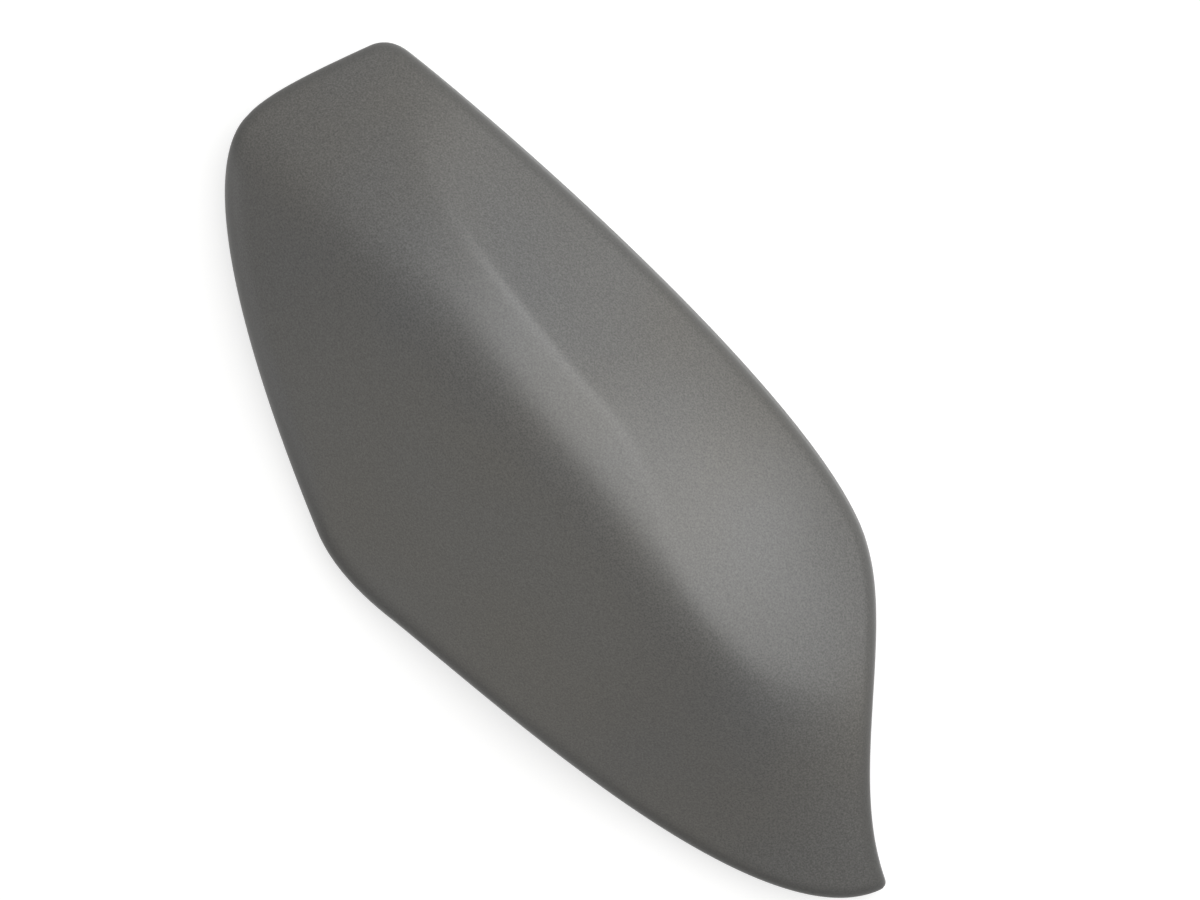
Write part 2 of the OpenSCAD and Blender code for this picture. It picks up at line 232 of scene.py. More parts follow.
# %% [markdown]
# ## The skin as a height over the plan
# The skin of the real cover is two gently crowned faces that meet in a
# rounded shoulder, with a crease that runs down from the upper rim and
# fades. A height for every point of the plan describes that well, because
# nothing overhangs. The smaller of two heights, rounded where they are
# close, gives the shoulder; a change of slope gives the crease.
#
# The skin is drawn in millimetres, with s along the length from the
# outboard end and t across it. KX, KY and KZ bring it to the real size.

# %% Sizes and small helpers
COVER_LEN, COVER_W, CROWN_H, WALL = 250.0, 110.0, 51.0, 2.5
DRAW_LEN, DRAW_W, DRAW_H, DRAW_TOP = 246.81, 109.9, 51.5, 50.76
MID_S, MID_T = 125.193, -1.42
KX, KY, KZ = COVER_LEN / DRAW_LEN, COVER_W / DRAW_W, CROWN_H / DRAW_TOP


def ramp(a, w):
    """Zero below, a straight line above, w wide at the knee."""
    return (a + math.sqrt(a * a + w * w)) / 2


def ease(a, b, x):
    """A step from 0 at a to 1 at b, smooth enough to leave no mark in a reflection."""
    q = min(1.0, max(0.0, (x - a) / (b - a)))
    return q * q * q * (q * (6 * q - 15) + 10)


def mix(a, b, q):
    return a + (b - a) * q


def soft_min(a, b, k):
    """The smaller of two heights, rounded where they are within k of each other."""
    h = max(k - abs(a - b), 0) / k
    return min(a, b) - h ** 3 * k / 6


print("skin drawn", DRAW_LEN, "by", DRAW_W, "mm, wall", WALL)

# %% [markdown]
# ## Ridge and shoulder
# The real cover is highest a little outboard of its middle and falls to
# both ends. The shoulder is the line where its two faces meet, and it
# catches a long highlight. A subdivision surface pulled about by hand could
# give this form too, but its shoulder would wander. Here each line of the
# form is a function of its own along the length, so one line can move
# without the others. The plain numbers in ease() and ramp() are places
# along the length and widths of knees, in millimetres.

# %% Ridge and shoulder
CROWN_S, CROWN_FLAT, CROWN_KNEE = 118.0, 6.0, 20.0
FALL_OUT, FALL_IN, FALL_REACH, FALL_KNEE = 0.0026, 0.00237, 111.0, 10.0
SHOULDER_MID, SHOULDER_OUT, SHOULDER_IN, SHOULDER_TAIL = 0.4, 5.6, 6.3, 13.7
ROUND_MID, ROUND_OUT, ROUND_TAIL = 7.6, 1.4, 5.5


def fall(x):
    """A square that runs straight on past its reach."""
    return x * x - ramp(x - FALL_REACH, FALL_KNEE) ** 2


def crown(s):
    """Height of the ridge, which falls away as a square on both sides."""
    return (DRAW_H - FALL_OUT * ramp(CROWN_S - s, CROWN_KNEE) ** 2
            - FALL_IN * fall(ramp(s - CROWN_S - CROWN_FLAT, CROWN_KNEE)))


def shoulder_t(s):
    """Where the shoulder lies across the plan."""
    return (SHOULDER_MID + SHOULDER_OUT * (1 - ease(53, 143, s))
            - SHOULDER_IN * ease(110, 180, s) + SHOULDER_TAIL * ease(187, 247, s))


def shoulder_width(s):
    """How close the two faces come before the shoulder rounds them."""
    return ROUND_MID - ROUND_OUT * (1 - ease(20, 90, s)) + ROUND_TAIL * ease(180, 220, s)


print("ridge at s", CROWN_S, "is", round(KZ * crown(CROWN_S), 1), "mm high")

# %% [markdown]
# ## The crease
# From the upper rim of the real cover a crease runs down beside the
# shoulder. It is soft at the rim, sharpest in the middle, and has faded
# before the waist. So it needs three functions: where it lies, how strong
# it is, and how wide its knee is.

# %% Crease
CREASE_MID, CREASE_RISE, CREASE_STEEP, CREASE_SINK = 19.9, 0.16, 0.41, 0.45
FADE_MID, FADE_TAIL = 0.77, 0.23
CREASE_FOLD, CREASE_SHARP, CREASE_SOFT_OUT, CREASE_SOFT_IN = 0.61, 0.9, 1.5, 4.8


def crease_t(s):
    """Where the crease lies across the plan."""
    return (CREASE_MID + CREASE_RISE * ramp(102 - s, 10) + CREASE_STEEP * ramp(46 - s, 12)
            - CREASE_SINK * ramp(s - 123.4, 10))


def crease_fade(s):
    """How much of the fold is left, from 0 to 1."""
    return ease(8, 99, s) * (1 - FADE_MID * ease(91, 199, s) - FADE_TAIL * ease(170, 230, s))


def crease_width(s):
    return (CREASE_SHARP + CREASE_SOFT_OUT * (1 - ease(20, 90, s))
            + CREASE_SOFT_IN * ease(110, 195, s))


print("crease folds most near", max(range(int(DRAW_LEN)), key=crease_fade), "mm along the length")

# %% [markdown]
# ## Two faces, one height
# The upper face falls away slowly and the front face more steeply. Beyond
# the crease the upper face is a leaf-shaped facet, which lifts again towards
# the rim, and the inboard corner has a gentle extra fall.

# %% Heights
TOP_FROM, TOP_LEAN, TOP_ROUND, TOP_EASED = 3, 0.03, 0.0051, 0.0025
LEAF_LIFT = 0.00305
DROP_S, DROP_T, DROP_LEAN, DROP_KNEE, DROP_ROUND = 150, 20.3, 0.68, 10, 0.0033
FRONT_FROM, FRONT_SLOPE, FRONT_OUT, FRONT_TAIL, FRONT_ROUND = 1, 0.538, 0.027, 0.407, 0.0031
HALF_STEP = 0.5
CROWN_T = 6


def top_face(s, t):
    across = max(0.0, t - TOP_FROM)
    fold = ramp(t - crease_t(s), crease_width(s))
    drop = ramp(t - DROP_T + DROP_LEAN * (s - DROP_S), DROP_KNEE)
    return (crown(s) - TOP_LEAN * (t - TOP_FROM)
            - (TOP_ROUND - TOP_EASED * ease(20, 100, s)) * across * across
            - CREASE_FOLD * crease_fade(s) * fold
            + LEAF_LIFT * ease(30, 100, s) * (1 - ease(80, 150, s)) * fold * fold
            - DROP_ROUND * ease(95, 175, s) * drop * drop)


def front_slope(s):
    return FRONT_SLOPE - FRONT_OUT * (1 - ease(10, 100, s)) - FRONT_TAIL * ease(180, 255, s)


def front_face(s, t):
    across = max(0.0, FRONT_FROM - t)
    return crown(s) + front_slope(s) * (t - shoulder_t(s)) - FRONT_ROUND * across * across


def outer_z(s, t):
    """Height of the outer skin in millimetres."""
    return KZ * soft_min(top_face(s, t), front_face(s, t), shoulder_width(s))


def under_z(s, t, depth):
    """Height of a skin that lies depth under the outer one, measured square to it."""
    z = outer_z(s, t)
    if depth == 0:
        return z
    gx = (outer_z(s + HALF_STEP, t) - outer_z(s - HALF_STEP, t)) / KX
    gy = (outer_z(s, t + HALF_STEP) - outer_z(s, t - HALF_STEP)) / KY
    return z - depth * math.sqrt(1 + gx * gx + gy * gy)


print("crown", round(outer_z(CROWN_S, CROWN_T), 1), "mm")

# %% [markdown]
# ## The rim and the waist
# The real rim lies in one plane, apart from the waist, where the mirror's
# foot passes and the rim arches up. A bump with a smooth foot gives the
# arch. A second helper takes a point of the drawing into the shared frame.

# %% Rim height and the shared frame
WAIST, WAIST_REACH, WAIST_LIFT = Vector((226.0, 1.0)), 48.0, 10.0


def rim_z(p):
    r = (p - WAIST).length / WAIST_REACH
    return WAIST_LIFT * (1 - r * r) ** 3 if r < 1 else 0.0


def part_point(p, z):
    """A point of the drawing, in metres in the frame."""
    return Vector((KX * (p.x - MID_S), KY * (p.y - MID_T), z)) * MM


print("skin at the waist", round(outer_z(WAIST.x, WAIST.y), 1), "mm, rim", rim_z(WAIST), "mm")

# %% [markdown]
# ## The outline
# Seen from above, the cover has five edges: the outboard end, the long
# upper rim, the inboard edge with its hollow waist, the lower rim and the
# slanted edge. Each is one curve with two handles, as a designer would
# draw it, and three of the corners are rounded off between their
# neighbours. The same curves could be drawn as a curve object, but then
# nothing could ask them for a point or a direction.

# %% Five edges
NOSE, UPPER, INBOARD = Vector((1.8, 11.2)), Vector((13.7, 50.0)), Vector((187.4, 40.2))
TAIL, LOWER = Vector((249.2, -18.3)), Vector((97.1, -57.9))
END_EDGE = (NOSE, Vector((1.4, 19.6)), Vector((8.3, 35.9)), UPPER)
UPPER_EDGE = (UPPER, Vector((40.1, 53.4)), Vector((157.9, 59.1)), INBOARD)
INBOARD_EDGE = (INBOARD, Vector((209.1, 27.3)), Vector((221.7, -5.4)), TAIL)
LOWER_EDGE = (TAIL, Vector((238.7, -56.3)), Vector((121.0, -52.7)), LOWER)
SLANT_EDGE = (LOWER, Vector((51.8, -38.5)), Vector((0.6, -10.6)), NOSE)
RUN_STEPS, BEND_STEPS = 80, 24


def heading(c, q):
    """Direction of travel at q along the curve c, from 0 at its start to 1 at its end."""
    v = (1 - q) ** 2 * (c[1] - c[0]) + 2 * (1 - q) * q * (c[2] - c[1]) + q * q * (c[3] - c[2])
    return v.normalized()


def inward(v):
    return Vector((v.y, -v.x))


def curve(c, q):
    return ((1 - q) ** 3 * c[0] + 3 * (1 - q) ** 2 * q * c[1]
            + 3 * (1 - q) * q * q * c[2] + q ** 3 * c[3])


def inset(c, q, d):
    """The point at q, moved in from the curve by d."""
    return curve(c, q) + d * inward(heading(c, q))


def run(c, a, b, d, n=RUN_STEPS):
    return [inset(c, mix(a, b, i / n), d) for i in range(n + 1)]


def corner(ca, cb, radius, d):
    """Where two edges stop, and the rounded corner between them."""
    turn = math.acos(max(-1.0, min(1.0, heading(ca, 1) @ heading(cb, 0))))
    m = radius + d * math.tan(turn / 2)
    qa = 1 - m / (3 * (ca[3] - ca[2]).length)
    qb = m / (3 * (cb[1] - cb[0]).length)
    na, nb = inward(heading(ca, 1)), inward(heading(cb, 0))
    tip = ca[3] + d * (na + nb) / (1 + na @ nb)
    a, b = inset(ca, qa, d), inset(cb, qb, d)
    steps = [i / BEND_STEPS for i in range(BEND_STEPS + 1)]
    return qa, qb, [(1 - q) ** 2 * a + 2 * q * (1 - q) * tip + q * q * b for q in steps]


print("outline from", len((END_EDGE, UPPER_EDGE, INBOARD_EDGE, LOWER_EDGE, SLANT_EDGE)), "edges")

# %% [markdown]
# ## The same outline, further in
# The walls, the turned edge and the inner skin all follow the outline a set
# distance inside it. Scaling the outline down would change that distance
# from place to place, so each edge is moved along its own normal. The
# points are then spread again, with more of them near the corners.

# %% Closed loops, set in from the outline
COLS, ROWS = 156, 84
LOOP_N = 2 * (COLS + ROWS)
BEND_MID = BEND_STEPS // 2
CORNER_UPPER, CORNER_LOWER, CORNER_TAIL = 5.0, 12.0, 2.0
END_TIGHT, UPPER_TIGHT, INBOARD_TIGHT, LOWER_TIGHT = 0.2, 0.55, 0.5, 0.45


def resample(points, n, tight):
    """n + 1 points along a polyline, closer together at its two ends."""
    along = [0.0]
    for a, b in zip(points, points[1:]):
        along.append(along[-1] + (b - a).length)
    out, k = [], 0
    for i in range(n + 1):
        w = along[-1] * (i / n - tight * math.sin(math.tau * i / n) / math.tau)
        while k < len(points) - 2 and along[k + 1] < w:
            k += 1
        span = along[k + 1] - along[k]
        q = min(1.0, (w - along[k]) / span) if span else 0
        out.append(mix(points[k], points[k + 1], q))
    return out


def loop(d):
    """Up the outboard end, along the upper rim, down the inboard edge and back."""
    ua, ub, up = corner(END_EDGE, UPPER_EDGE, CORNER_UPPER, d)
    ta, tb, tip = corner(INBOARD_EDGE, LOWER_EDGE, CORNER_TAIL, d)
    la, lb, low = corner(LOWER_EDGE, SLANT_EDGE, CORNER_LOWER, d)
    ends = resample(run(END_EDGE, 0, ua, d) + up[1:BEND_MID + 1], ROWS, END_TIGHT)
    tops = resample(up[BEND_MID:BEND_STEPS] + run(UPPER_EDGE, ub, 1, d), COLS, UPPER_TIGHT)
    ins = resample(run(INBOARD_EDGE, 0, ta, d) + tip[1:BEND_MID + 1], ROWS, INBOARD_TIGHT)
    lows = resample(tip[BEND_MID:BEND_STEPS] + run(LOWER_EDGE, tb, la, d)
                    + low[1:BEND_STEPS] + run(SLANT_EDGE, lb, 1, d), COLS, LOWER_TIGHT)
    return ends[:-1] + tops[:-1] + ins[:-1] + lows[:-1]


print("loop of", len(loop(0)), "points")

# %% [markdown]
# ## Columns and rows that follow the form
# A grid drawn straight over the plan would cross the crease at a slant and
# show steps on it. So two of the rows are led along the shoulder and the
# crease, the others lie between them, and the columns fan out from the
# outboard end to the tail.

# %% Plan of the grid
ROW_SHOULDER, ROW_CREASE = 36, 54
ROW_CROWD, ROW_GAP, ROW_KNEE, SHOULDER_ROW_END = 1.25, 9.0, 6, 190
FAN, HALF_WAY = 0.3, 0.5
JOIN_SHOULDER, JOIN_CREASE, LEAVE = (-0.05, 0.28), (0, 0.3), (0.74, 1.02)


def row_mix(low, shoulder, crease, top, j):
    """The place of row j between the two rims, by way of the shoulder and the crease."""
    if j <= ROW_SHOULDER:
        return mix(low, shoulder, 1 - (1 - j / ROW_SHOULDER) ** ROW_CROWD)
    if j <= ROW_CREASE:
        return mix(shoulder, crease, (j - ROW_SHOULDER) / (ROW_CREASE - ROW_SHOULDER))
    return mix(crease, top, (j - ROW_CREASE) / (ROWS - ROW_CREASE))


def shoulder_row(s):
    return shoulder_t(min(s, SHOULDER_ROW_END))


def crease_row(s):
    """Keeps the crease's row clear of the shoulder's."""
    low = shoulder_row(s) + ROW_GAP
    return low + ramp(crease_t(s) - low, ROW_KNEE)


def guide(v, j, i, on_crease):
    """Where row j crosses column i; between the ends it follows its line of the form."""
    u = i / COLS
    w = u - FAN * math.sin(math.tau * u) / math.tau
    p = mix(v[j], v[2 * ROWS + COLS - j], w)
    leave = 1 - ease(*LEAVE, u)
    if on_crease:
        return Vector((p.x, mix(p.y, crease_row(p.x), ease(*JOIN_CREASE, u) * leave)))
    return Vector((p.x, mix(p.y, shoulder_row(p.x), ease(*JOIN_SHOULDER, u) * leave)))


def plan_grid(v):
    """(column, row) to plan point, for a closed loop v."""
    out = {}
    end = [v[2 * ROWS + COLS - j] for j in range(ROWS + 1)]
    for i in range(COLS + 1):
        u = i / COLS
        low, top = v[(LOOP_N - i) % LOOP_N], v[ROWS + i]
        s, c = guide(v, ROW_SHOULDER, i, False), guide(v, ROW_CREASE, i, True)
        for j in range(ROWS + 1):
            p = row_mix(low, s, c, top, j)
            p = p + (1 - u) * (1 - ease(0, HALF_WAY, u)) * (
                v[j] - row_mix(v[0], v[ROW_SHOULDER], v[ROW_CREASE], v[ROWS], j))
            p = p + u * ease(HALF_WAY, 1, u) * (
                end[j] - row_mix(end[0], end[ROW_SHOULDER], end[ROW_CREASE], end[ROWS], j))
            out[i, j] = p
    return out


print("grid of", COLS, "by", ROWS)

# %% [markdown]
# ## Rings of vertices
# A ring is the closed border of a mesh in order. To pull a wall down from
# it, its edges are extruded and the new vertices moved to their places. The
# operator returns them in no order, so each is found again as the one new
# neighbour of an old vertex.

# %% Rings


def border_index(m):
    """(column, row) of vertex m of the grid's border, in the order of a loop."""
    if m < ROWS:
        return 0, m
    if m < ROWS + COLS:
        return m - ROWS, ROWS
    if m < 2 * ROWS + COLS:
        return COLS, 2 * ROWS + COLS - m
    return LOOP_N - m, 0


def ring_edges(bm, ring):
    return [bm.edges.get((ring[m], ring[(m + 1) % len(ring)])) for m in range(len(ring))]


def extrude_ring(bm, ring, places):
    """Extrudes a closed ring of vertices and moves the new one to places."""
    made = bmesh.ops.extrude_edge_only(bm, edges=ring_edges(bm, ring))["geom"]
    fresh = {v for v in made if isinstance(v, bmesh.types.BMVert)}
    after = []
    for v, place in zip(ring, places):
        new = next(e.other_vert(v) for e in v.link_edges if e.other_vert(v) in fresh)
        new.co = place
        after.append(new)
    return after


print("a ring has", LOOP_N, "vertices")

# %% [markdown]
# ## From sheet to shell
# A moulded wall is two skins a wall apart. Each starts as a flat grid whose
# vertices are moved onto the height function. Its border is then extruded
# ring by ring: round the turned edge, down the drafted side wall, and on
# the inner skin over the rebate of the rim lip. Draft is the small slant
# that lets a moulding out of its tool.

# %% One skin
DRAFT = math.radians(3)
EDGE_TURN, SLANT_TURN, TURN_STEPS = 2.4, 7.0, 8
SLANT_ENDS, SLANT_TOP = (70, 92), (-8, 8)
TURN_SHRINK, TURN_DROP, TURN_SHARE, TURN_SPARE = 0.25, 1.1, 0.5, 1
LIP_T, LIP_H = 1.8, 3.5
HALF_GRID = 0.5


def turn_at(p):
    """How far in from the outline the skin starts to turn down."""
    return mix(EDGE_TURN, SLANT_TURN, (1 - ease(*SLANT_ENDS, p.x)) * (1 - ease(*SLANT_TOP, p.y)))


def skin(bm, depth):
    """Adds one skin, depth under the outer one, and returns its rim."""
    reach = SLANT_TURN + TURN_SPARE
    outline, deeper = loop(depth / KX), loop((depth + reach) / KX)
    lip = loop((LIP_T if depth else 0.0) / KX)
    turns = [turn_at(p) - (TURN_SHRINK * depth) for p in outline]
    rims = [rim_z(p) for p in lip]
    tops = [under_z(p.x, p.y, depth) for p in outline]
    walls = [top - min(TURN_DROP * turn, TURN_SHARE * (top - rim))
             for top, turn, rim in zip(tops, turns, rims)]

    def leaned(heights, more):
        """The outline moved in by its draft at these heights, and by more."""
        slip = math.tan(DRAFT)
        return [mix(a, b, (slip * (z - r) + w) / reach)
                for a, b, z, r, w in zip(outline, deeper, heights, rims, more)]

    none = [0.0] * LOOP_N
    starts = leaned(tops, turns)
    on_wall = [part_point(p, z) for p, z in zip(leaned(walls, none), walls)]
    at_corner = [part_point(p, under_z(p.x, p.y, depth)) for p in leaned(tops, none)]
    on_skin = [part_point(p, under_z(p.x, p.y, depth)) for p in starts]
    plan = plan_grid(starts)
    grid = bmesh.ops.create_grid(bm, x_segments=COLS, y_segments=ROWS, size=HALF_GRID)["verts"]
    at = {}
    for v in grid:
        cell = round((v.co.x + HALF_GRID) * COLS), round((v.co.y + HALF_GRID) * ROWS)
        at[cell] = v
        v.co = part_point(plan[cell], under_z(plan[cell].x, plan[cell].y, depth))
    ring = [at[border_index(m)] for m in range(LOOP_N)]
    for step in range(TURN_STEPS - 1, 0, -1):
        q = step / TURN_STEPS
        ring = extrude_ring(bm, ring, [(1 - q) ** 2 * b + 2 * q * (1 - q) * c + q * q * a
                                       for a, b, c in zip(on_skin, on_wall, at_corner)])
    ring = extrude_ring(bm, ring, on_wall)
    if depth:
        ring = extrude_ring(bm, ring, [part_point(p, r + LIP_H) for p, r in zip(outline, rims)])
        ring = extrude_ring(bm, ring, [part_point(p, r + LIP_H) for p, r in zip(lip, rims)])
    return extrude_ring(bm, ring, [part_point(p, r) for p, r in zip(lip, rims)])


print("edge turned over", EDGE_TURN, "mm, and over", SLANT_TURN, "mm at the slanted edge")

# %% [markdown]
# ## Two skins, one wall
# A Solidify modifier would thicken one skin at a stroke, but the real wall
# has a rebate at the rim and a tighter turned edge inside. Two skins made
# by the same function give both. The inner one is turned inside out, the
# two rims are bridged, and a small bevel takes the sharpness off the edge.
# The faces note here which of the two finishes they will wear.

# %% Both skins and the rim
OUTSIDE, INSIDE = 0, 1
RIM_ROUND, RIM_STEPS = 0.35, 3
finishes = [new_material("grey_primer"), new_material("raw_inside")]


def give_finishes(mesh):
    """Both materials go into each mesh, so that the union keeps the faces' numbers."""
    for made, *_ in finishes:
        mesh.materials.append(made)


bm = bmesh.new()
outer_rim = skin(bm, 0.0)
outer_faces = set(bm.faces)
for f in outer_faces:
    f.material_index = OUTSIDE
inner_rim = skin(bm, WALL)
inner_faces = [f for f in bm.faces if f not in outer_faces]
bmesh.ops.reverse_faces(bm, faces=inner_faces)
for f in inner_faces:
    f.material_index = INSIDE
bridge = bmesh.ops.bridge_loops(bm, edges=ring_edges(bm, outer_rim) + ring_edges(bm, inner_rim))
for f in bridge["faces"]:
    f.material_index = OUTSIDE
bmesh.ops.bevel(bm, geom=ring_edges(bm, outer_rim), offset=RIM_ROUND * MM, segments=RIM_STEPS,
                affect="EDGES", profile=0.5, material=-1)
print("shell volume", round(bm.calc_volume(signed=True) * 1e6, 1), "cm3, open edges",
      sum(not e.is_manifold for e in bm.edges))
shell_mesh = bpy.data.meshes.new("cover_shell")
give_finishes(shell_mesh)
bm.to_mesh(shell_mesh)
bm.free()
cover = bpy.data.objects.new("cover", shell_mesh)
bpy.context.scene.collection.objects.link(cover)

# %% [markdown]
# ## Pieces for the inner side
# A real cover is clipped to the mirror housing, so its inner side carries
# hooks, pegs and ribs, all moulded in one with the wall. Each is made as a
# closed solid that ends in the middle of the wall. Edges are rounded a
# little, as a tool leaves them, because a dead sharp edge never catches
# light.

# %% Places under the wall


def root_z(a):
    """Middle of the wall over a plan point in millimetres."""
    return under_z(a.x / KX + MID_S, a.y / KY + MID_T, WALL / 2)


def inside_z(a):
    """Inner side of the wall over a plan point in millimetres."""
    return under_z(a.x / KX + MID_S, a.y / KY + MID_T, WALL)


def spot(s, t):
    """A place of the drawing as a plan point in millimetres."""
    return Vector((KX * (s - MID_S), KY * (t - MID_T)))


def away(turn, r):
    return r * Vector((math.cos(turn), math.sin(turn)))


print("wall at the crown from", round(inside_z(spot(CROWN_S, CROWN_T)), 1), "to",
      round(outer_z(CROWN_S, CROWN_T), 1), "mm")

# %% [markdown]
# ## Rounded solids and upright plates
# Webs, gussets and ribs are all upright plates whose top follows the wall.
# So one helper draws a flat outline and makes it thick, a second one fits
# that outline to the skin, and a third rounds the edges of any closed piece
# and keeps it for the union.

# %% Helpers for inner pieces
ROUNDING, ROUNDING_STEPS, PLATE_STEPS = 0.28, 2, 8
FOLD_ANGLE = math.radians(28)
moulded = bpy.data.collections.new("moulded")


def add_moulded(name, bm, rounding=ROUNDING):
    """Rounds the edges of a closed piece in millimetres and keeps it for the union."""
    bmesh.ops.recalc_face_normals(bm, faces=bm.faces)
    edges = [e for e in bm.edges if abs(e.calc_face_angle_signed(0.0)) > FOLD_ANGLE]
    bmesh.ops.bevel(bm, geom=edges, offset=rounding, segments=ROUNDING_STEPS, affect="EDGES",
                    profile=0.5, material=-1, clamp_overlap=True)
    bmesh.ops.scale(bm, vec=(MM, MM, MM), verts=bm.verts)
    for f in bm.faces:
        f.material_index = INSIDE
    mesh = bpy.data.meshes.new(name)
    give_finishes(mesh)
    loose = sum(not e.is_manifold for e in bm.edges)
    bm.to_mesh(mesh)
    bm.free()
    moulded.objects.link(bpy.data.objects.new(name, mesh))
    return loose


def thick_outline(outline, thick, a, turn):
    """A flat outline of (run, height) made thick, standing at a, running in direction turn."""
    bm = bmesh.new()
    face = bm.faces.new([bm.verts.new((u, -thick / 2, z)) for u, z in outline])
    made = bmesh.ops.extrude_face_region(bm, geom=[face])["geom"]
    fresh = [v for v in made if isinstance(v, bmesh.types.BMVert)]
    bmesh.ops.translate(bm, vec=(0, thick, 0), verts=fresh)
    bmesh.ops.rotate(bm, matrix=Matrix.Rotation(turn, 3, "Z"), verts=bm.verts)
    bmesh.ops.translate(bm, vec=(a.x, a.y, 0), verts=bm.verts)
    return bm


def plate(name, a, turn, start, end, thick, foot, steps=PLATE_STEPS):
    """An upright plate whose top follows the wall; foot lists (run, depth) under the skin."""
    runs = [mix(start, end, i / steps) for i in range(steps + 1)]
    tops = [(u, root_z(a + away(turn, u))) for u in runs]
    feet = [(u, inside_z(a + away(turn, u)) - depth) for u, depth in foot]
    return add_moulded(name, thick_outline(tops + feet[::-1], thick, a, turn))


print("edges rounded", ROUNDING, "mm")

# %% [markdown]
# ## Locating pegs
# Two round pegs find the holes of the housing. Each stands on a stepped
# boss with four webs. A peg is a turned shape, so half of its section is
# spun once round its axis, and the top ring is then laid into the wall.

# %% Pegs
PEG_R, PEG_LEN, PEG_LEAD, PEG_CHAMFER, PEG_STEPS = 3.0, 14.0, 1.0, 0.8, 48
BOSS_R, BOSS_H, WEB_REACH, WEB_STEP, RIB_T, PLATE_TOE = 4.5, 7.0, 9.0, 1.5, 1.6, 0.8
PEG_SPOTS = (("outboard", spot(70, 9)), ("inboard", spot(166, 7)))
MERGE, LEVEL = 1e-4, 0.01


def lay_into_wall(bm, top):
    """Lifts the vertices at the height top to the middle of the wall."""
    for v in bm.verts:
        if v.co.z > top - LEVEL:
            v.co.z = root_z(v.co.xy)


def turned_peg(a):
    seat = inside_z(a) - BOSS_H
    tip = seat - PEG_LEN
    profile = [(0, tip), (PEG_R - PEG_CHAMFER, tip), (PEG_R, tip + PEG_LEAD), (PEG_R, seat),
               (BOSS_R, seat), (BOSS_R, seat + BOSS_H), (0, seat + BOSS_H)]
    bm = bmesh.new()
    verts = [bm.verts.new((r, 0, z)) for r, z in profile]
    edges = [bm.edges.new(pair) for pair in zip(verts, verts[1:])]
    bmesh.ops.spin(bm, geom=verts + edges, cent=(0, 0, 0), axis=(0, 0, 1), angle=math.tau,
                   steps=PEG_STEPS, use_merge=True)
    bmesh.ops.remove_doubles(bm, verts=bm.verts, dist=MERGE)
    bmesh.ops.translate(bm, vec=(a.x, a.y, 0), verts=bm.verts)
    lay_into_wall(bm, seat + BOSS_H)
    return bm, seat


for name, a in PEG_SPOTS:
    bm, seat = turned_peg(a)
    loose = add_moulded("peg_" + name, bm)
    for m in (0, 1):
        quarter = m * math.pi / 2
        inner = [(u, inside_z(a + away(quarter, u)) - seat - WEB_STEP) for u in (-BOSS_R, BOSS_R)]
        foot = [(-WEB_REACH, PLATE_TOE), *inner, (WEB_REACH, PLATE_TOE)]
        loose += plate("web_%s_%d" % (name, m), a, quarter, -WEB_REACH, WEB_REACH, RIB_T, foot)
    print("peg", name, "seat at", round(seat, 1), "mm, loose edges", loose)

# %% [markdown]
# ## Snap hooks
# Eight hooks stand just inside the outline. Each is a springy blade with a
# barb that ramps over an edge of the housing and holds behind it, and two
# small gussets brace it. The section of blade and barb is one outline,
# drawn out to the width of the hook.

# %% Hooks
HOOK_W, HOOK_T, HOOK_BARB, HOOK_RAMP, HOOK_TIP_Z = 9.0, 2.2, 1.7, 4.5, 3.0
HOOK_REACH, HOOK_CLEAR, HOOK_NOSE, BARB_FLAT, BARB_BACK = 4.0, 2.0, 0.2, 0.8, 0.15
GUSSET_T, GUSSET_DEPTH, GUSSET_IN = 1.4, 7.0, 1.5
HOOK_SPOTS = ((UPPER_EDGE, 0.22), (UPPER_EDGE, 0.46), (UPPER_EDGE, 0.72), (INBOARD_EDGE, 0.18),
              (END_EDGE, 0.52), (SLANT_EDGE, 0.36), (LOWER_EDGE, 0.52), (LOWER_EDGE, 0.80))


def hook(name, edge, q):
    """A hook at q along an edge, with its gussets; returns how many edges are open."""
    p = inset(edge, q, turn_at(curve(edge, q)) + WALL + HOOK_REACH + HOOK_CLEAR)
    out = -inward(heading(edge, q))
    turn = math.atan2(out.y, out.x)
    a = spot(p.x, p.y)
    foot, top = HOOK_TIP_Z + rim_z(p), root_z(a)
    back, front = -HOOK_T / 2, HOOK_T / 2
    section = [(front, foot), (front, top), (back, top),
               (back, foot + HOOK_RAMP + BARB_FLAT + BARB_BACK),
               (back - HOOK_BARB, foot + HOOK_RAMP + BARB_FLAT),
               (back - HOOK_BARB, foot + HOOK_RAMP),
               (back - HOOK_NOSE, foot + HOOK_NOSE), (back, foot)]
    bm = thick_outline(section, HOOK_W, a, turn)
    lay_into_wall(bm, top)
    loose = add_moulded(name, bm)
    for m in (-1, 1):
        side = a + away(turn + math.pi / 2, m * (HOOK_W / 2 - GUSSET_IN))
        loose += plate("%s_gusset_%d" % (name, m + 1), side, turn, 0, HOOK_REACH, GUSSET_T,
                       [(0, GUSSET_DEPTH), (HOOK_T / 2, GUSSET_DEPTH), (HOOK_REACH, PLATE_TOE)])
    return loose


loose = sum(hook("hook_%d" % k, *h) for k, h in enumerate(HOOK_SPOTS))
print("hooks", len(HOOK_SPOTS), "loose edges", loose)

# %% [markdown]
# ## Ribs
# Low ribs keep the broad front face from drumming. Each is the same upright
# plate as a web, with its foot a little under the skin, so that it follows
# the crown without any measuring. Bars cut to length would not.

